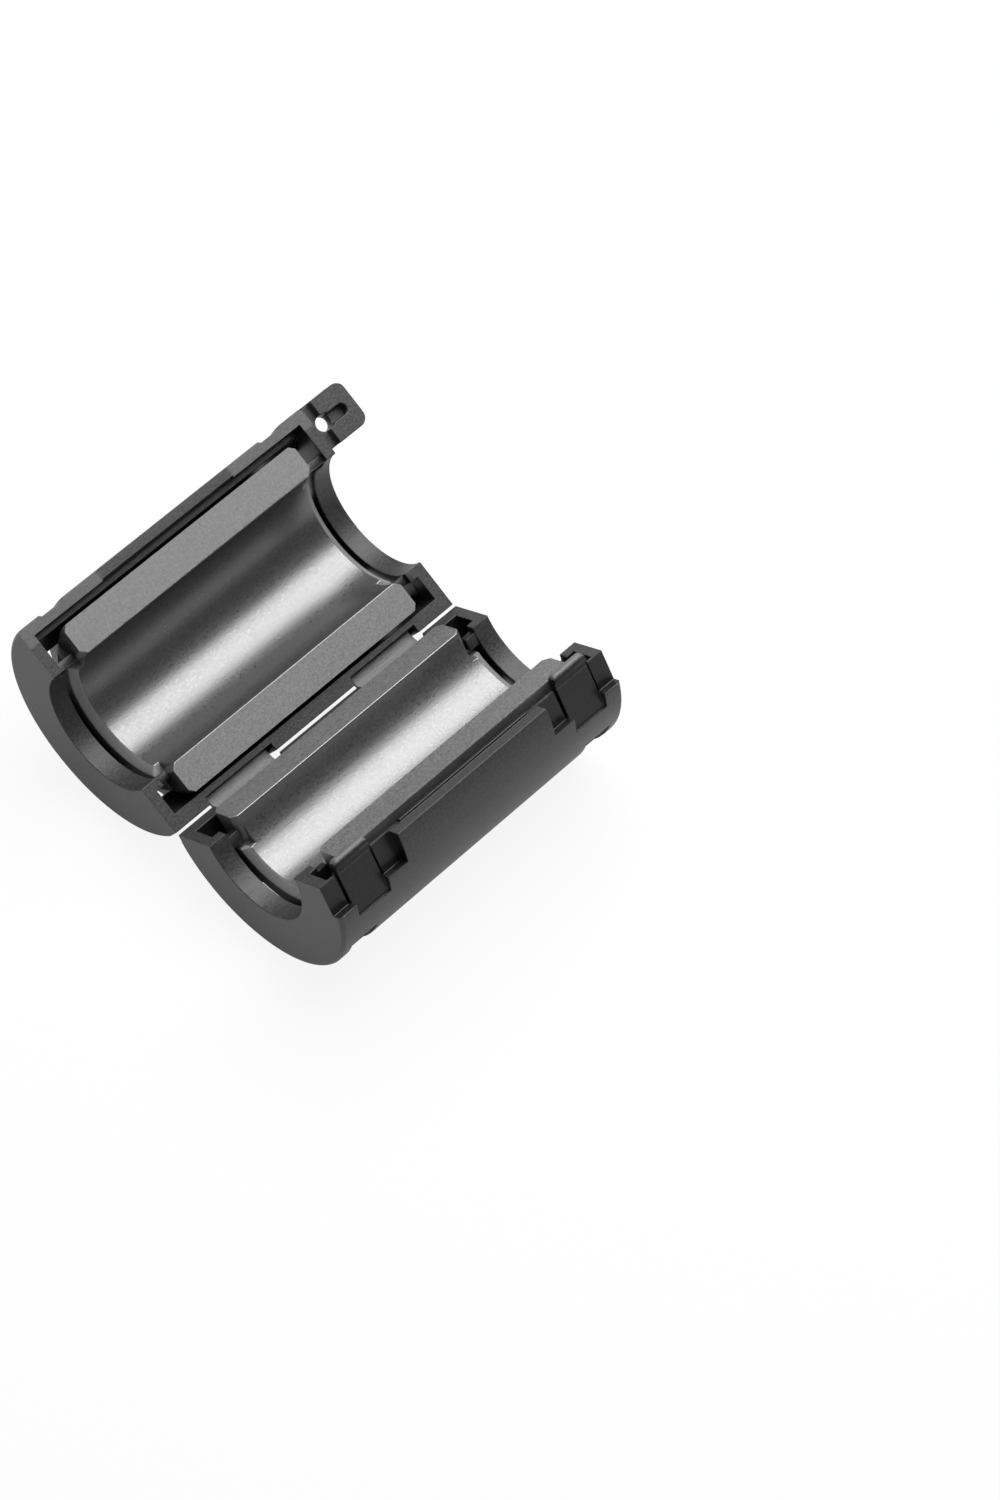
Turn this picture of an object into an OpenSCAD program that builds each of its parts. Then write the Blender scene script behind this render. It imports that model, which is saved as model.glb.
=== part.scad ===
// Clip-on ferrite bead, lying open on its two round backs.
// A moulded case of two half-round shells, joined along one side by two film
// straps, holds two half-ring ferrite cores. Two snap hooks close it round a cable.
// X runs along the cable towards the ear, Z is up, and the floor is at Z = 0.

/* [Case] */
// Length of the case over its two end walls, without the ear
case_l = 32; // [28:0.5:40]
// Outside diameter of the closed case
case_d = 20.9; // [18.5:0.1:26]
// Thickness of the half-round side wall
side_wall = 1.55; // [1.4:0.05:1.8]
// Thickness of the end walls
end_wall = 1.0; // [0.8:0.1:1.3]
// Rounding of the outer edge of the end walls
edge_round = 0.4; // [0.2:0.05:0.7]
// Angle between the two halves as they lie
open_angle = 118; // [100:1:140]
// Angle between the two halves at the end of the hinge's travel
full_open_angle = 170; // [150:1:180]

/* [Cable port] */
// Room between the core's bore and the port in the end wall
port_step = 0.1; // [0.1:0.05:0.4]
// Width of the collar round the inside of the port
collar_w = 0.9; // [0.6:0.1:1.2]
// Height of that collar above the inside of the end wall
collar_t = 0.8; // [0.5:0.1:0.9]

/* [Ferrite core] */
// Thickness of the ring, from the outside of the core to its bore
core_wall = 2.95; // [2.4:0.05:3.4]
// Room between the core and the side wall
core_clear = 0.35; // [0.3:0.05:0.5]
// Distance from the end of the case to the end of the core
core_inset = 2.3; // [2.2:0.1:3.5]
// Bevel on the outer edge of the core's ends
core_bevel = 1.1; // [0.5:0.1:1.4]
// Bevel on the edge of the bore at the core's ends
bore_bevel = 0.6; // [0.2:0.05:0.7]
// Height of the core's flat above the shell's edge when the clip is open
core_rise = 0.65; // [0.3:0.05:0.9]
// Gap that each core leaves to the parting plane when the clip is closed
core_sink = 0.02; // [0.01:0.01:0.05]
// Length of the step at each end of the core's flats
core_step = 0.65; // [0.4:0.05:0.8]
// Corner cut of the flats beside the bore
land_corner = 0.5; // [0.2:0.1:0.8]

/* [Retaining lugs] */
// Width of the lugs that keep a core in its shell
lug_w = 0.75; // [0.5:0.05:1]
// Height of the lugs
lug_h = 1.15; // [0.8:0.05:1.4]
// Distance of the lugs below the shell's edge
lug_drop = 0.5; // [0.3:0.05:0.6]
// Room between a lug and the core's step
lug_clear = 0.08; // [0.05:0.01:0.12]

/* [Windows] */
// Distance from the end of the case to a window
window_inset = 1.2; // [1:0.1:1.6]
// Length of a window along the case
window_l = 2.8; // [2:0.1:3.4]
// Distance from the middle of the back to a window
window_off = 4.1; // [3.6:0.1:4.3]
// Width of a window across the case
window_w = 3.5; // [3:0.1:4.2]

/* [Hinge] */
// Depth of the flat on the round side wall beside the hinge
hinge_flat = 0.25; // [0.15:0.05:0.3]
// Distance from that flat to the hinge axis
hinge_gap = 0.1; // [0.1:0.05:0.3]
// Set-back of the hook half's edge beside the hinge
hinge_relief = 0.15; // [0.1:0.05:0.4]
// Height of that set-back
relief_h = 0.8; // [0.4:0.1:1.2]
// Distance from the end of the case to a strap recess
recess_inset = 4.0; // [3.5:0.1:5]
// Length of a strap recess along the case
recess_l = 7.4; // [6.8:0.1:8]
// Depth of a strap recess in the side wall
recess_d = 0.75; // [0.5:0.05:0.8]
// Height of a strap recess below the shell's edge
recess_h = 2.2; // [1.9:0.1:3]
// Length of a strap along the case
strap_l = 6.75; // [6:0.05:6.9]
// Gap from the start of a recess to its strap
strap_gap = 0.3; // [0.1:0.05:0.4]
// Thickness of the film strap
strap_t = 0.4; // [0.25:0.05:0.5]
// Depth below the shell's edge at which the strap leaves the wall
strap_drop = 1.2; // [1:0.05:1.4]
// Sag of the strap between the two walls
strap_sag = 0.3; // [0.15:0.05:0.5]
// Gap at the strap's two roots
strap_seat = 0.02; // [0.01:0.01:0.05]

/* [Snap hooks] */
// Distance from the end of the case to a hook
hook_inset = 1.9; // [1.6:0.1:3]
// Width of a hook along the case
hook_w = 3.5; // [2.5:0.1:4.5]
// Height of a hook above the shell's edge
hook_rise = 1.3; // [1:0.05:1.5]
// Height of the hook's catch face above the shell's edge
hook_catch = 0.5; // [0.5:0.05:0.8]
// Rounding of the hook's top
hook_round = 0.4; // [0.2:0.05:0.4]
// Thickness of the hook's neck
hook_t = 0.55; // [0.5:0.05:0.6]
// How far the barb stands out from the neck
hook_barb = 0.3; // [0.15:0.05:0.35]
// Room between a hook and the core
hook_core_gap = 0.2; // [0.15:0.05:0.25]
// Height of the neck below the shell's edge
hook_root = 4.3; // [3.6:0.1:5]
// Width of the cut that frees a hook on each side
hook_slit = 0.2; // [0.2:0.1:0.6]
// Length of the pocket round a hook, from the end of the case
pocket_l = 7.6; // [7.4:0.1:9]
// Height of that pocket below the shell's edge
pocket_h = 2.9; // [2.4:0.1:3.4]
// Depth of the pocket's floor behind the hook's outer face
pocket_set = 0.15; // [0.05:0.05:0.2]

/* [Latch wall] */
// Room round a hook inside the latch wall
latch_clear = 0.1; // [0.08:0.01:0.15]
// Room at each side of a hook inside the latch wall
latch_side = 0.4; // [0.3:0.1:0.8]
// Room between a closed hook's catch face and its ledge
catch_gap = 0.05; // [0.03:0.01:0.1]
// Room below a closed hook
latch_deep = 0.35; // [0.2:0.05:0.6]
// Depth of the finger dip outside a catch
dip_d = 0.25; // [0.1:0.05:0.3]
// Length of the finger dip
dip_l = 2.1; // [1.8:0.1:3.4]
// Length of the ramps at the ends of the dip
dip_ramp = 0.3; // [0.2:0.1:0.8]
// Height of the finger dip below the shell's edge
dip_h = 2.4; // [1.5:0.1:3]
// Length of the rib on the hook half's edge
rib_l = 14.4; // [10:0.2:16]
// Width of that rib
rib_w = 0.5; // [0.4:0.05:0.65]
// Height of that rib
rib_h = 0.25; // [0.15:0.05:0.5]
// Room round that rib in the rebate of the other half's edge
rib_clear = 0.15; // [0.1:0.05:0.3]

/* [Ear] */
// Distance that the ear stands out from the end of the case
ear_l = 4.0; // [3:0.1:6]
// Width of the ear
ear_w = 4.25; // [3.6:0.05:5]
// Height of the ear above the shell's edge
ear_rise = 0.8; // [0.4:0.1:1]
// Thickness of the ear below the shell's edge
ear_under = 1.0; // [0.8:0.1:1.6]
// Length of the ear's lower root
ear_root = 0.65; // [0.5:0.05:0.9]
// Rounding of the ear's free corners
ear_round = 0.9; // [0.5:0.1:1.4]
// Diameter of the hole through the ear
ear_hole = 1.4; // [1:0.05:1.45]
// Distance from the end of the case to that hole's centre
ear_hole_x = 0.8; // [0.75:0.05:0.9]
// Width of the slot recess in the ear
slot_w = 1.0; // [0.8:0.05:1.2]
// Depth of the slot recess
slot_d = 0.9; // [0.4:0.1:1]
// Distance from the ear's tip to the end of the slot recess
slot_end = 0.95; // [0.7:0.05:1.2]

/* [Label plate] */
// Length of the bare label plate on the hook half's back
plate_l = 18.4; // [16:0.2:22]
// Width of the plate over its grooves
plate_w = 5.6; // [4.4:0.2:6.4]
// Width of the grooves that frame the plate's ends
groove_w = 0.8; // [0.6:0.1:1.2]
// Depth of the grooves
groove_d = 0.6; // [0.3:0.05:0.8]
// Length of each groove's arms
groove_arm = 5.4; // [4:0.2:6.4]
// Corner radius of the grooves
groove_r = 1.2; // [1:0.1:1.6]

/* [Hidden] */
$fn = 96;

eps = 0.01;
over = 2;
case_r = case_d / 2;
cavity_r = case_r - side_wall;
core_r = cavity_r - core_clear;
bore_r = core_r - core_wall;
port_r = bore_r + port_step;
core_l = case_l - 2 * core_inset;
lean = (180 - open_angle) / 2;

// The rise of a core follows the hinge: level when closed, highest when fully open
rise_per_degree = (core_rise + core_sink) / open_angle;
full_rise = core_rise + rise_per_degree * (full_open_angle - open_angle);
step_h = lug_drop + lug_h + full_rise + lug_clear;

hinge_wall = case_r - hinge_flat;
hinge_r = hinge_wall + hinge_gap;
hinge_z = case_r - hinge_r * sin(lean);
recess_y = hinge_wall - recess_d;

hook_in = core_r + hook_core_gap;
hook_out = hook_in + hook_t;
latch_y = hook_out + latch_clear;
latch_h = hook_rise + latch_deep;
hook_mid = hook_inset + hook_w / 2;
hook_tip = hook_out + hook_barb;
tip_r = min(hook_round, (hook_tip - hook_in) / 2 - eps);
ear_out = case_r - 0.05;

module along_x() rotate([90, 0, 90]) children();

// A section drawn in Y and Z, drawn out along X
module bar(x0, x1) along_x() translate([0, 0, x0]) linear_extrude(x1 - x0) children();

module rod(r, x0, x1) along_x() translate([0, 0, x0]) cylinder(r = r, h = x1 - x0);

// A profile drawn in radius and X, turned half a turn below the parting plane
module half_turn() along_x() rotate([0, 0, 180]) rotate_extrude(angle = 180) children();

module block(x0, x1, y0, y1, z0, z1)
    translate([x0, y0, z0]) cube([x1 - x0, y1 - y0, z1 - z0]);

module both_ends() {
    children();
    translate([case_l, 0, 0]) mirror([1, 0, 0]) children();
}

module both_sides() {
    children();
    mirror([0, 1, 0]) children();
}

// The two halves as they lie, from the frame of one half: Y towards its latch
// edge, Z out of its parting plane, and X = 0 at the plain end of the case
module lay_ear_half()
    translate([-(case_l + ear_l) / 2, 0, hinge_z])
        rotate([lean, 0, 0]) translate([0, hinge_r, 0]) children();

module lay_hook_half()
    translate([-(case_l + ear_l) / 2, 0, hinge_z])
        mirror([0, 1, 0]) rotate([lean, 0, 0]) translate([0, hinge_r, 0]) children();

module rounded_end_outline() {
    translate([0, edge_round]) square([case_r, case_l - 2 * edge_round]);
    square([case_r - edge_round, case_l]);
    for (x = [edge_round, case_l - edge_round])
        translate([case_r - edge_round, x]) circle(edge_round);
}

module shell_profile() {
    difference() {
        rounded_end_outline();
        translate([-over, end_wall]) square([cavity_r + over, case_l - 2 * end_wall]);
        translate([-over, -over]) square([port_r + over, case_l + 2 * over]);
    }
    for (x = [end_wall - eps, case_l - end_wall - collar_t])
        translate([port_r, x]) square([collar_w, collar_t + eps]);
}

// A lug stands on the end wall and reaches over the step in the core's end
module lug()
    block(end_wall - eps, core_inset + core_step - lug_clear,
          port_r + eps, port_r + lug_w, -lug_drop - lug_h, -lug_drop);

// A window goes through the side wall only, and leaves the collar inside it whole
module window()
    difference() {
        block(window_inset, window_inset + window_l, window_off, window_off + window_w, -case_r - over, 0);
        rod(cavity_r - eps, -over, case_l + over);
    }

module strap_recess()
    block(recess_inset, recess_inset + recess_l, -case_r - over, -recess_y, -recess_h, over);

module shell() {
    difference() {
        half_turn() shell_profile();
        both_ends() both_sides() window();
        block(-over, case_l + over, -case_r - over, -hinge_wall, -case_r, over);
        both_ends() strap_recess();
    }
    both_ends() both_sides() lug();
}

module ear_outline() {
    tip = case_l + ear_l;
    y0 = ear_out - ear_w;
    translate([case_l, y0]) square([ear_l - ear_round, ear_w]);
    translate([case_l, y0 + ear_round]) square([ear_l, ear_w - 2 * ear_round]);
    for (y = [y0 + ear_round, ear_out - ear_round])
        translate([tip - ear_round, y]) circle(ear_round);
}

module ear() {
    mid = ear_out - ear_w / 2;
    slot_x = case_l + ear_l - slot_end - slot_w / 2;
    difference() {
        translate([0, 0, -ear_under]) linear_extrude(ear_under + ear_rise) ear_outline();
        block(case_l - over, case_l + ear_root, ear_out - ear_w - over, case_r + over, 0, ear_rise + over);
        translate([case_l + ear_hole_x, mid, -ear_under - over])
            cylinder(d = ear_hole, h = ear_under + ear_rise + 2 * over);
        translate([slot_x, mid, ear_rise - slot_d]) cylinder(d = slot_w, h = slot_d + over);
        block(case_l + ear_hole_x, slot_x, mid - slot_w / 2, mid + slot_w / 2,
              ear_rise - slot_d, ear_rise + over);
    }
}

// Room for the closed hooks inside the latch wall, with the undercut for a barb
module catch()
    block(hook_inset - latch_side, hook_inset + hook_w + latch_side, cavity_r - over,
          hook_tip + latch_clear, -latch_h, -hook_catch + catch_gap);

// The rebate in the latch wall's edge that takes the other half's rib
module rib_rebate()
    block((case_l - rib_l) / 2 - rib_clear, (case_l + rib_l) / 2 + rib_clear,
          cavity_r - eps, cavity_r + rib_w + rib_clear, -rib_h - rib_clear, over);

module finger_dip()
    translate([hook_mid, 0, -dip_h]) linear_extrude(dip_h + over)
        polygon([[-dip_l / 2 - dip_ramp, case_r + eps], [-dip_l / 2, case_r - dip_d],
                 [dip_l / 2, case_r - dip_d], [dip_l / 2 + dip_ramp, case_r + eps]]);

module ear_half_shell() color("#34363a") lay_ear_half() {
    difference() {
        shell();
        block(end_wall, case_l - end_wall, 0, latch_y, -latch_h, over);
        both_ends() catch();
        rib_rebate();
        both_ends() finger_dip();
    }
    both_ends() lug();
}

module ear_tab() color("#34363a") lay_ear_half() ear();

// The pocket round a hook, stepped at the hook, with the cuts that free it
module hook_pocket() {
    floor_y = hook_out - pocket_set;
    block(-over, hook_inset, floor_y, case_r + over, -pocket_h, over);
    block(hook_inset + hook_w, pocket_l, floor_y, case_r + over, -pocket_h, over);
    block(hook_inset - eps, hook_inset + hook_w + eps, hook_out, case_r + over, -hook_root, over);
    for (x = [hook_inset - hook_slit, hook_inset + hook_w])
        block(x, x + hook_slit, core_r, case_r + over, -pocket_h, over);
}

// A hook's section: the neck, the barb and its rounded top
module hook_section() {
    top = hook_rise - tip_r;
    translate([hook_in, -hook_root]) square([hook_t, hook_root + hook_catch + eps]);
    translate([hook_in, hook_catch]) square([hook_tip - hook_in, top - hook_catch]);
    translate([hook_in + tip_r, top - eps]) square([hook_tip - hook_in - 2 * tip_r, tip_r + eps]);
    for (y = [hook_in + tip_r, hook_tip - tip_r])
        translate([y, top]) circle(tip_r);
}

module hook() bar(hook_inset, hook_inset + hook_w) hook_section();

module edge_rib()
    block((case_l - rib_l) / 2, (case_l + rib_l) / 2, cavity_r + eps, cavity_r + rib_w, -eps, rib_h);

module groove_outline(grow) {
    w = plate_w / 2 + grow;
    l = plate_l / 2 + grow;
    r = groove_r + grow;
    square([2 * l, 2 * (w - r)], center = true);
    square([2 * (l - r), 2 * w], center = true);
    for (x = [-l + r, l - r], y = [-w + r, w - r])
        translate([x, y]) circle(r);
}

// Two grooves, each a C round one end of the bare plate
module plate_grooves()
    intersection() {
        translate([case_l / 2, 0, -case_r - over]) linear_extrude(case_r)
            difference() {
                groove_outline(0);
                groove_outline(-groove_w);
                square([plate_l - 2 * groove_arm, plate_w + over], center = true);
            }
        difference() {
            rod(case_r + over, 0, case_l);
            rod(case_r - groove_d, -over, case_l + over);
        }
    }

module hook_half_shell() color("#34363a") lay_hook_half() {
    difference() {
        shell();
        both_ends() hook_pocket();
        plate_grooves();
        block(-over, case_l + over, -case_r - over, hinge_relief - hinge_wall, -relief_h, over);
    }
    both_ends() hook();
    edge_rib();
}

module core_profile()
    polygon([[bore_r + bore_bevel, 0], [core_r - core_bevel, 0], [core_r, core_bevel],
             [core_r, core_l - core_bevel], [core_r - core_bevel, core_l], [bore_r + bore_bevel, core_l],
             [bore_r, core_l - bore_bevel], [bore_r, bore_bevel]]);

// The step at the end of a flat, which a lug keeps down, with the cut corner
module land_step()
    translate([core_inset, 0, -step_h]) linear_extrude(step_h + over)
        polygon([[-over, bore_r - over], [core_step + land_corner, bore_r - over],
                 [core_step + land_corner, bore_r], [core_step, bore_r + land_corner],
                 [core_step, case_r], [-over, case_r]]);

module core()
    translate([0, 0, core_rise]) difference() {
        translate([core_inset, 0, 0]) half_turn() core_profile();
        both_ends() both_sides() land_step();
    }

module ear_half_core() color("#8a8b8d") lay_ear_half() core();

module hook_half_core() color("#8a8b8d") lay_hook_half() core();

// A film strap, round below, between the two recess faces
module strap(x0) {
    reach = hinge_gap + recess_d - strap_seat;
    root_y = reach * cos(lean) + strap_drop * sin(lean);
    root_z = reach * sin(lean) - strap_drop * cos(lean);
    bend_r = (root_y * root_y + strap_sag * strap_sag) / (2 * strap_sag);
    apex = reach / sin(lean);
    side = case_r;
    translate([-(case_l + ear_l) / 2, 0, hinge_z]) bar(x0, x0 + strap_l)
        intersection() {
            translate([0, root_z - strap_sag + bend_r]) difference() {
                circle(bend_r + strap_t / 2);
                circle(bend_r - strap_t / 2);
            }
            polygon([[0, apex], [side * sin(lean), apex - side * cos(lean)],
                     [-side * sin(lean), apex - side * cos(lean)]]);
        }
}

module plain_end_strap() color("#4a4c50") strap(recess_inset + strap_gap);

module ear_end_strap() color("#4a4c50") strap(case_l - recess_inset - recess_l + strap_gap);

ear_half_shell();
ear_tab();
ear_half_core();
hook_half_shell();
hook_half_core();
plain_end_strap();
ear_end_strap();
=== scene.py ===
import math

import bmesh
import bpy
from mathutils import Euler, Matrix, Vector
from mathutils.bvhtree import BVHTree
from mathutils.kdtree import KDTree


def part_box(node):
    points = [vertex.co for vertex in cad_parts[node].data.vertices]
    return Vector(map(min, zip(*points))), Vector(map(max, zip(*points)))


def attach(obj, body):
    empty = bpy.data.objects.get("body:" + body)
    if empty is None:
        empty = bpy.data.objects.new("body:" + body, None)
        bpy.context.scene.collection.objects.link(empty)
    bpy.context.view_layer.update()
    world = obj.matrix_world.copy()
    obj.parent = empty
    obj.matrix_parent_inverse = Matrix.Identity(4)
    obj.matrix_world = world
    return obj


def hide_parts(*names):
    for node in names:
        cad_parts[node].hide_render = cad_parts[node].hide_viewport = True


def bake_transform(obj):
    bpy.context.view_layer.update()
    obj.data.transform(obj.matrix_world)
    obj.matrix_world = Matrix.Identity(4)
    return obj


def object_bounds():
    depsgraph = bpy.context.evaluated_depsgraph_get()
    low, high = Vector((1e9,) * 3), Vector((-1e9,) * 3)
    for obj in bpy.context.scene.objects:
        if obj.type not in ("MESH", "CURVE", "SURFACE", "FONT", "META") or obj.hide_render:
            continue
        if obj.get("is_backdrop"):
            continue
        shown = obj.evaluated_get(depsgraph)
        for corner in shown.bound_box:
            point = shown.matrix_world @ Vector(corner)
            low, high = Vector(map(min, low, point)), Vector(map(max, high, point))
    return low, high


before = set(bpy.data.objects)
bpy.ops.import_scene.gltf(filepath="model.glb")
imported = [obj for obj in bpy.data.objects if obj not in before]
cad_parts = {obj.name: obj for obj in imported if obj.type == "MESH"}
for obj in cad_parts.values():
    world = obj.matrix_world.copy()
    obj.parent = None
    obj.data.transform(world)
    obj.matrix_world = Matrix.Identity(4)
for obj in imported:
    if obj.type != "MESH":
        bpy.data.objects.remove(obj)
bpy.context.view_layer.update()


# Camera, floor and light: the bead lies on a white table under one wide soft lamp that hangs
# almost straight above it, a little towards the ear, so both bores carry one bright band.
# The table glows a little for the camera, which keeps it white and its shadow faint.
lens = bpy.data.cameras.new("table_camera")
lens.lens = 130.32
lens.sensor_width = 36
lens.clip_start, lens.clip_end = 0.01, 20
camera = bpy.data.objects.new("table_camera", lens)
camera.location = (-0.174903, -0.185425, 0.371834)
camera.rotation_euler = Euler([math.radians(a) for a in (34.2982, -0.3791, -45.8414)])
bpy.context.collection.objects.link(camera)
bpy.context.scene.camera = camera
bpy.context.scene.view_settings.view_transform = "Standard"


class Wire:
    """One socket of a material. Arithmetic on it adds Math nodes; make() adds any other node."""

    def __init__(self, tree, out=None):
        self.tree, self.out = tree, out

    def make(self, kind, settings=(), values=(), out=0):
        node = self.tree.nodes.new(kind)
        for name, value in dict(settings).items():
            setattr(node, name, value)
        for name, value in dict(values).items():
            if isinstance(value, Wire):
                self.tree.links.new(value.out, node.inputs[name])
            else:
                node.inputs[name].default_value = value
        return Wire(self.tree, node.outputs[out] if node.outputs else None)

    def math(self, operation, *values):
        return self.make("ShaderNodeMath", {"operation": operation}, enumerate(values))

    def __add__(self, other):
        return self.math("ADD", self, other)

    __radd__ = __add__

    def __sub__(self, other):
        return self.math("SUBTRACT", self, other)

    def __rsub__(self, other):
        return self.math("SUBTRACT", other, self)

    def __mul__(self, other):
        return self.math("MULTIPLY", self, other)

    __rmul__ = __mul__


def new_material(name):
    material = bpy.data.materials.new(name)
    material.use_nodes = True
    material.node_tree.nodes.clear()
    return material, Wire(material.node_tree)


def rises(w, value, low, high):
    """0 at low, 1 at high and even between them; low may be the larger one."""
    return w.make("ShaderNodeMapRange", values={"Value": value, "From Min": low, "From Max": high})


table_white, w = new_material("table_white")
ray = "ShaderNodeLightPath"
seen = w.math("MAXIMUM", 0.9 * w.make(ray, out="Is Camera Ray"), 0.6 * w.make(ray, out="Is Glossy Ray"))
lit = w.make("ShaderNodeBsdfDiffuse", values={"Color": (0.82, 0.82, 0.82, 1)})
glow = w.make("ShaderNodeEmission", values={"Color": (1, 1, 1, 1), "Strength": 1.0})
top = w.make("ShaderNodeMixShader", values={0: seen, 1: lit, 2: glow})
w.make("ShaderNodeOutputMaterial", values={"Surface": top})
bpy.ops.mesh.primitive_plane_add(size=6, location=(0, 0, 0))
table = bpy.context.object
table.name = "table"
table.data.materials.append(table_white)
table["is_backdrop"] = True

world = bpy.data.worlds.new("studio")
bpy.context.scene.world = world
world.use_nodes = True
world.node_tree.nodes.clear()
w = Wire(world.node_tree)
facing = w.make("ShaderNodeTexCoord", out="Generated")
side = w.make("ShaderNodeSeparateXYZ", values={0: facing}, out="Y")
dim, bright, white = (
    w.make("ShaderNodeBackground", values={"Color": (1, 1, 1, 1), "Strength": strength})
    for strength in (0.08, 0.36, 1.0))
room = w.make("ShaderNodeMixShader", values={0: rises(w, side, -1.0, 1.0), 1: dim, 2: bright})
seen = w.make(ray, out="Is Camera Ray")
backdrop = w.make("ShaderNodeMixShader", values={0: seen, 1: room, 2: white})
w.make("ShaderNodeOutputWorld", values={"Surface": backdrop})

soft_box = bpy.data.lights.new("soft_box", "AREA")
soft_box.shape = "RECTANGLE"
soft_box.size, soft_box.size_y = 0.30, 0.26
soft_box.energy = 1.35
lamp_distance = 0.30
lamp = bpy.data.objects.new("soft_box", soft_box)
lamp.location = Vector((0.385, 0.12, 0.915)) * lamp_distance
lamp.rotation_euler = (-lamp.location).to_track_quat("-Z", "Y").to_euler()
bpy.context.collection.objects.link(lamp)


# Ear half of the case and its ear: one half-round shell of black injection-moulded plastic.
# The tool was spark-eroded, so every outer face has the same fine matt grain, while the pins
# that made the insides and pockets were ground smooth. Painted shade darkens the insides and
# pockets, and painted light makes the rim ends paler. The edges are a little round.
mm = 0.001
lean = math.radians(31)
hinge_z, hinge_r = 5.1451, 10.3
mid_x = -2.0
case_r, half_l, port_r = 10.45, 16.0, 5.7
keen_angle = math.radians(38)


def half_frame(w):
    """Places in either half, in mm: along the case, towards its latch, out of its parting plane."""
    place = w.make("ShaderNodeTexCoord", out="Object")
    x, y, z = (w.make("ShaderNodeSeparateXYZ", values={0: place}, out=axis) * (1 / mm) for axis in "XYZ")
    side, height = w.math("ABSOLUTE", y), z - hinge_z
    latch = side * math.cos(lean) + height * math.sin(lean) - hinge_r
    out = height * math.cos(lean) - side * math.sin(lean)
    return place, x - mid_x, latch, out


def half_place(spot):
    """The same three measures for a point of a mesh."""
    side, height = abs(spot.y) / mm, spot.z / mm - hinge_z
    latch = side * math.cos(lean) + height * math.sin(lean) - hinge_r
    out = height * math.cos(lean) - side * math.sin(lean)
    return spot.x / mm - mid_x, latch, out


def grained_plastic(name, tone, gloss, grit=2.2, pockets=False, painted_rim_light=False, painted_rib_shade_and_ledge_light=False):
    """Matt grained plastic. The pockets and the rib lie smooth and carry painted shade; the hook tops, rims
    and ledge carry painted light.
    """
    material, w = new_material(name)
    place, along, latch, out = half_frame(w)
    grain = w.make("ShaderNodeTexNoise",
                   values={"Vector": place, "Scale": 4400.0, "Detail": 2.0, "Roughness": 0.55})
    cloud = w.make("ShaderNodeTexNoise", values={"Vector": place, "Scale": 260.0, "Detail": 2.0})
    shade = w.math("MAXIMUM", 0.3 * cloud + grit * grain + 0.71 - 0.5 * grit, 0.1)
    rough = gloss + 0.18 * grain
    height = grain
    if pockets:
        radius = w.math("SQRT", latch * latch + out * out)
        from_mid = w.math("ABSOLUTE", along)
        # Painted shade: the inner walls, the pockets and the hooks' barb faces are darkened, as shade falls
        # there; they also lie smoother.
        walls = rises(w, radius, case_r - 0.09, case_r - 0.19) * rises(w, radius, port_r + 0.06, port_r + 0.14)
        walls = walls * rises(w, out, -0.04, -0.12) * rises(w, from_mid, half_l - 0.02, half_l - 0.08)
        hooks = rises(w, out, 0.02, 0.06) * rises(w, out, 1.0, 0.9)
        hooks = hooks * rises(w, from_mid, 10.4, 10.5) * rises(w, from_mid, 14.3, 14.2)
        pocket_shade = w.math("MAXIMUM", walls, hooks)
        # Painted highlight: the rounded hook tops are made pale, as the lamp catches them there.
        tip_highlight = rises(w, out, 0.95, 1.18) * rises(w, from_mid, 10.0, 10.2)
        shade = shade * (1 - 0.76 * pocket_shade) + 2.6 * tip_highlight
        rough = rough - 0.12 * pocket_shade
        height = height * (1 - 0.7 * pocket_shade)
        if painted_rim_light:
            # Painted light: the rim ends are made paler.
            rim_light = rises(w, out, -0.22, -0.14) * rises(w, latch, 8.6, 8.8) * rises(w, from_mid, 7.2, 7.6)
            shade = shade + 1.9 * rim_light
        if painted_rib_shade_and_ledge_light:
            # Painted shade on the rib beside the core, which also lies smoother, and painted light on the
            # ledge outside it.
            rib_shade = rises(w, out, 0.06, 0.1) * rises(w, latch, 9.46, 9.42) * rises(w, from_mid, 7.8, 7.4)
            ledge_light = rises(w, out, -0.1, -0.04) * rises(w, out, 0.12, 0.08)
            ledge_light = ledge_light * rises(w, latch, 9.38, 9.42) * rises(w, from_mid, 10.6, 10.4)
            shade = shade * (1 - 0.72 * rib_shade) + 0.42 * ledge_light
            rough = rough - 0.32 * rib_shade
            height = height * (1 - 0.8 * rib_shade)
    tint = shade * tone
    colour = w.make("ShaderNodeCombineColor", values={0: tint, 1: tint * 1.01, 2: tint * 1.03})
    bump = w.make("ShaderNodeBump", values={"Strength": 0.5, "Distance": 0.05 * mm, "Height": height})
    skin = w.make("ShaderNodeBsdfPrincipled",
                  values={"Base Color": colour, "Roughness": rough, "IOR": 1.54, "Normal": bump})
    w.make("ShaderNodeOutputMaterial", values={"Surface": skin})
    return material


def weld(bm, gap):
    """Joins points that lie closer than gap and drops the slivers that this leaves."""
    bmesh.ops.remove_doubles(bm, verts=bm.verts, dist=gap)
    bmesh.ops.dissolve_degenerate(bm, dist=gap, edges=bm.edges)


def edges_to_round(bm, edge, whole_faces, leave):
    """The sharp edges, without those that leave() names or that have no room beside them."""
    sharp = {e for e in bm.edges if len(e.link_faces) == 2 and e.calc_face_angle(0) > keen_angle}
    kept = {e for e in sharp if leave((e.verts[0].co + e.verts[1].co) / 2)}
    for e in sharp if not whole_faces else ():
        for v in e.verts:
            run = (e.other_vert(v).co - v.co).normalized()
            for other in sharp.intersection(v.link_edges) - {e}:
                turn = other.other_vert(v).co - v.co
                if turn.length < edge * 2 and abs(run.dot(turn.normalized())) < 0.8:
                    kept.add(e)
    return [e for e in bm.edges if e in sharp and e not in kept]


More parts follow.
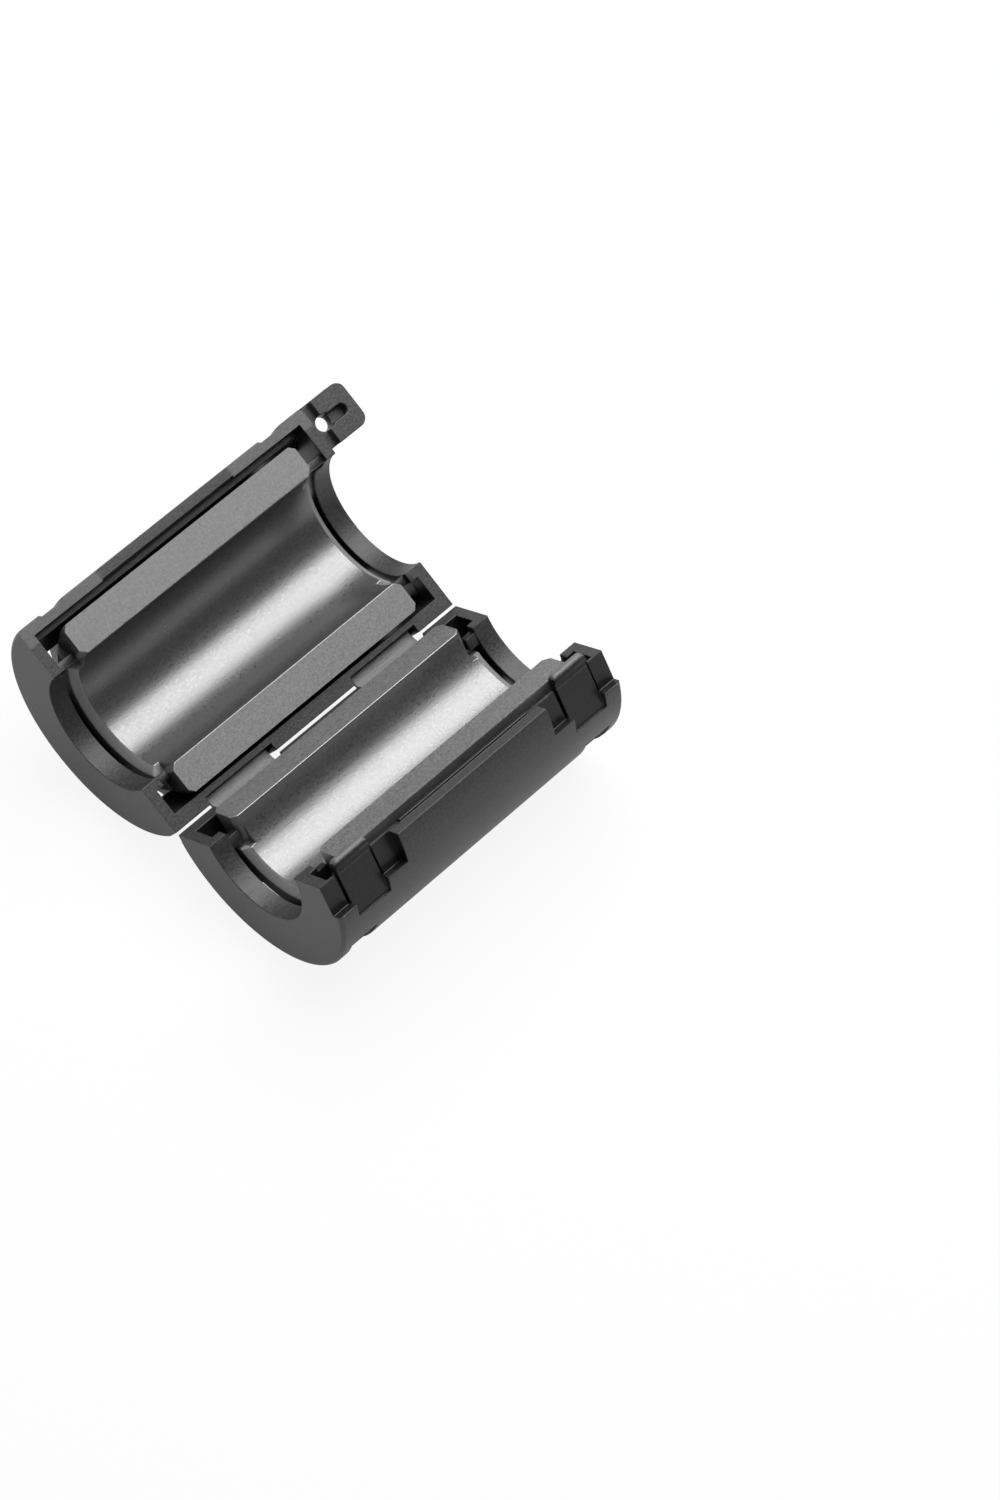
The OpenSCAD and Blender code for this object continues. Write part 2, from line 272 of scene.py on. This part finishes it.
def points_along(edges, gap):
    """A search tree of points on the edges, at most gap apart."""
    spots = []
    for e in edges:
        a, b = (v.co.copy() for v in e.verts)
        parts = max(1, math.ceil((b - a).length / gap))
        spots += [a.lerp(b, k / parts) for k in range(parts + 1)]
    tree = KDTree(len(spots))
    for k, spot in enumerate(spots):
        tree.insert(spot, k)
    tree.balance()
    return tree


def round_edges(node, body, edge, material, leave, whole_faces=False, shape=None):
    """A copy of a solid with its sharp edges rounded a little, which stands in for it."""
    bm = bmesh.new()
    bm.from_mesh(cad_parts[node].data)
    weld(bm, 0.025 * mm)
    if whole_faces:
        bmesh.ops.dissolve_limit(bm, angle_limit=math.radians(0.5), verts=bm.verts, edges=bm.edges)
    if shape:
        shape(bm)
        weld(bm, 0.012 * mm)
    solid = BVHTree.FromBMesh(bm)
    rounded = edges_to_round(bm, edge, whole_faces, leave)
    old_edges = points_along(rounded, 0.03 * mm)
    made = bmesh.ops.bevel(bm, geom=rounded, offset=edge, offset_type="OFFSET", segments=3, profile=0.5,
                           affect="EDGES", clamp_overlap=False, loop_slide=True)
    # A point that slid too far along its face goes back to the width of the rounding.
    for vert in made["verts"]:
        spot, _, away = old_edges.find(vert.co)
        if away > edge * 1.3:
            vert.co = spot.lerp(vert.co, edge / away)
    # No point stands outside the solid, or deeper inside it than the rounding goes.
    for vert in bm.verts:
        on_solid, outward, _, away = solid.find_nearest(vert.co)
        if away > edge * 0.45 or (vert.co - on_solid).dot(outward) > 0:
            vert.co = on_solid
    for face in bm.faces:
        face.smooth = True
    for e in bm.edges:
        e.smooth = len(e.link_faces) == 2 and e.calc_face_angle(0) < keen_angle
    mesh = bpy.data.meshes.new(node + "_moulded")
    bm.to_mesh(mesh)
    bm.free()
    piece = bpy.data.objects.new(node + "_moulded", mesh)
    bpy.context.collection.objects.link(piece)
    even = piece.modifiers.new("even", "WEIGHTED_NORMAL")
    even.weight, even.keep_sharp = 90, True
    bpy.context.view_layer.update()
    evened = piece.evaluated_get(bpy.context.evaluated_depsgraph_get())
    piece.data = bpy.data.meshes.new_from_object(evened)
    piece.modifiers.clear()
    piece.data.materials.clear()
    piece.data.materials.append(material)
    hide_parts(node)
    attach(piece, body)


def end_corner(spot):
    """Where the rim runs into the round ends of the case, the edge of the parting plane is keen."""
    along, latch, _ = half_place(spot)
    return abs(along) > half_l - 0.4 and abs(latch) > 9.7


def ear_join(spot):
    """The ear and the end wall are one moulding, so the line where their solids meet isn't rounded."""
    along, _, _ = half_place(spot)
    return abs(along - half_l) < 0.02 and spot.y > 11.5 * mm or end_corner(spot)


case_tone, case_gloss, case_edge = 0.034, 0.38, 0.07 * mm
# The ear half's plastic: painted shade in its pockets and painted light on its rim ends.
painted_shade_light_plastic = grained_plastic("painted_shade_light_plastic", case_tone, case_gloss, pockets=True, painted_rim_light=True)
round_edges("ear_half_shell", "ear_half", case_edge, painted_shade_light_plastic, ear_join)
ear_plastic = grained_plastic("ear_plastic", case_tone, case_gloss)
round_edges("ear_tab", "ear_half", 0.09 * mm, ear_plastic, ear_join, whole_faces=True)


# Hook half of the case: the other half-round shell, moulded in one shot with the ear half. Its
# two catch hooks stand in pockets that were ground smooth in the tool, as was the rib on its
# rim. Painted shade darkens the pockets, the barbs and the rib, and painted light makes the hook
# tops and the ledge paler. Two C-shaped grooves frame the bare plate on its back.
case_plastic = grained_plastic("case_plastic", case_tone, case_gloss, pockets=True, painted_rib_shade_and_ledge_light=True)


def cut_edge(spot):
    """The grooves round the plate on the back were cut into the tool, so their edges are keen."""
    return half_place(spot)[2] < -9.2 or end_corner(spot)


def lead_in(bm):
    """Rounds both ends of each hook's top, which guide the hook into the latch wall."""
    corner, shoulder, half_w = 0.4 * mm, 0.9 * mm, 1.75 * mm
    up = Vector((0, math.sin(lean), math.cos(lean)))
    root = Vector((0, 0, hinge_z * mm))
    for hook_x in (-14.35 * mm, 10.35 * mm):
        for end in (-1, 1):
            for part in (0, 0.35, 0.6, 0.8, 0.95):
                near = [f for f in bm.faces if max((v.co - root).dot(up) for v in f.verts) > 0.6 * mm
                        and abs(f.calc_center_bounds().x - hook_x) < half_w]
                edges = {e for f in near for e in f.edges}
                verts = {v for f in near for v in f.verts}
                cut = hook_x + end * (half_w - corner + corner * part)
                bmesh.ops.bisect_plane(bm, geom=near + list(edges) + list(verts), dist=0.001 * mm,
                                       plane_co=(cut, 0, 0), plane_no=(1, 0, 0))
        for v in bm.verts:
            over = (v.co - root).dot(up) - shoulder
            into = (abs(v.co.x - hook_x) - half_w + corner) / corner
            if over > 0.002 * mm and 0 < into < 1.1:
                v.co -= up * over * (1 - math.sqrt(max(1 - into ** 2, 0.03)))


round_edges("hook_half_shell", "hook_half", case_edge, case_plastic, cut_edge, shape=lead_in)


# Cores: two half rings of sintered manganese-zinc ferrite, each loose in its shell under four
# lugs. The flats are lapped dull grey so that they close without a gap; the bore keeps the
# smooth, satin skin that it was pressed with.
bore_r, core_rise, core_half_l = 5.6, 0.65, 13.7
ferrite, w = new_material("ferrite")
place, along, latch, out = half_frame(w)
lift = out - core_rise
reach = w.math("SQRT", latch * latch + lift * lift)
bore = rises(w, reach, bore_r + 0.09, bore_r + 0.03)
flat = rises(w, lift, -0.12, -0.06) * (1 - bore)
broken = rises(w, lift, -0.13, -0.09) * rises(w, reach, bore_r + 0.13, bore_r + 0.09)
# Painted light: the broken ring at each end of the bore is given a paler tone than the raw ferrite.
mouth = rises(w, w.math("ABSOLUTE", along), core_half_l - 0.64, core_half_l - 0.58)
mouth = mouth * rises(w, reach, bore_r + 0.7, bore_r + 0.62) * (1 - flat)
speck = w.make("ShaderNodeTexNoise",
               values={"Vector": place, "Scale": 4600.0, "Detail": 3.0, "Roughness": 0.7})
stretch = w.make("ShaderNodeMapping", values={"Vector": place, "Scale": (120.0, 5200.0, 5200.0)})
lapping = w.make("ShaderNodeTexNoise", values={"Vector": stretch, "Scale": 1.0, "Detail": 2.0})
raw_tone = 0.015 + 0.05 * speck
flat_tone = w.math("MAXIMUM", -0.11 + 0.355 * speck + 0.02 * lapping, 0.015)
bore_tone = 0.01 + 0.05 * speck
mouth_painted_light = 0.06 + 0.2 * speck
tone = raw_tone + flat * (flat_tone - raw_tone) + mouth * (mouth_painted_light - raw_tone)
tone = tone + bore * (1 - mouth) * (bore_tone - raw_tone)
gloss = 0.35 - 0.235 * w.math("MAXIMUM", bore, broken) - 0.08 * broken + 0.2 * mouth + 0.44 * speck
colour = w.make("ShaderNodeCombineColor", values={0: tone, 1: tone, 2: tone * 1.02})
grit = speck + 0.4 * lapping * flat
bump = w.make("ShaderNodeBump", values={"Strength": 0.35, "Distance": 0.03 * mm, "Height": grit})
skin = w.make("ShaderNodeBsdfPrincipled",
              values={"Base Color": colour, "Roughness": gloss, "IOR": 2.3, "Normal": bump})
w.make("ShaderNodeOutputMaterial", values={"Surface": skin})


def lapped_edge(spot):
    """The lapping leaves the outer edges of the flats keen; only the bore's edges are broken."""
    along, latch, out = half_place(spot)
    lift = out - core_rise
    step = abs(along) > core_half_l - 1.4 and -1.3 < lift < -0.15 and abs(latch) < bore_r + 0.1
    return step or lift > -0.3 and math.hypot(latch, lift) > bore_r + 1.2


for node, body in (("ear_half_core", "ear_core"), ("hook_half_core", "hook_core")):
    round_edges(node, body, 0.1 * mm, ferrite, lapped_edge, whole_faces=True)


# Film straps: two thin webs of the same plastic, moulded across the gap between the shells.
# They are the hinge: drawn thin and bent once, the plastic in them lies smooth and a bit paler.
film = grained_plastic("film_plastic", 0.135, 0.3, grit=0.6)
reach, drop, sag, thick = 0.85 * mm, 1.2 * mm, 0.3 * mm, 0.4 * mm
root_y = reach * math.cos(lean) + drop * math.sin(lean)
root_z = hinge_z * mm + reach * math.sin(lean) - drop * math.cos(lean)
bend_r = (root_y ** 2 + sag ** 2) / (2 * sag)
bend_end = math.asin(root_y / bend_r) * 1.04
steps = 28
for node in ("plain_end_strap", "ear_end_strap"):
    low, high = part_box(node)
    inner, outer = bend_r - thick / 2, bend_r + thick / 2
    corners = ((inner, low[0]), (inner, high[0]), (outer, high[0]), (outer, low[0]))
    bm = bmesh.new()
    rows = []
    for i in range(steps + 1):
        a = (i / steps * 2 - 1) * bend_end
        rows.append([bm.verts.new((x, -r * math.sin(a), root_z - sag + bend_r - r * math.cos(a)))
                     for r, x in corners])
    for a, b in zip(rows, rows[1:]):
        for k in range(4):
            bm.faces.new((a[k], a[(k + 1) % 4], b[(k + 1) % 4], b[k]))
    bm.faces.new(rows[0][::-1])
    bm.faces.new(rows[-1])
    bmesh.ops.recalc_face_normals(bm, faces=bm.faces)
    mesh = bpy.data.meshes.new(node + "_film")
    bm.to_mesh(mesh)
    bm.free()
    web = bpy.data.objects.new(node + "_film", mesh)
    bpy.context.collection.objects.link(web)
    mesh.materials.append(film)
    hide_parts(node)
    -root_y
    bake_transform(web)


low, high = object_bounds()
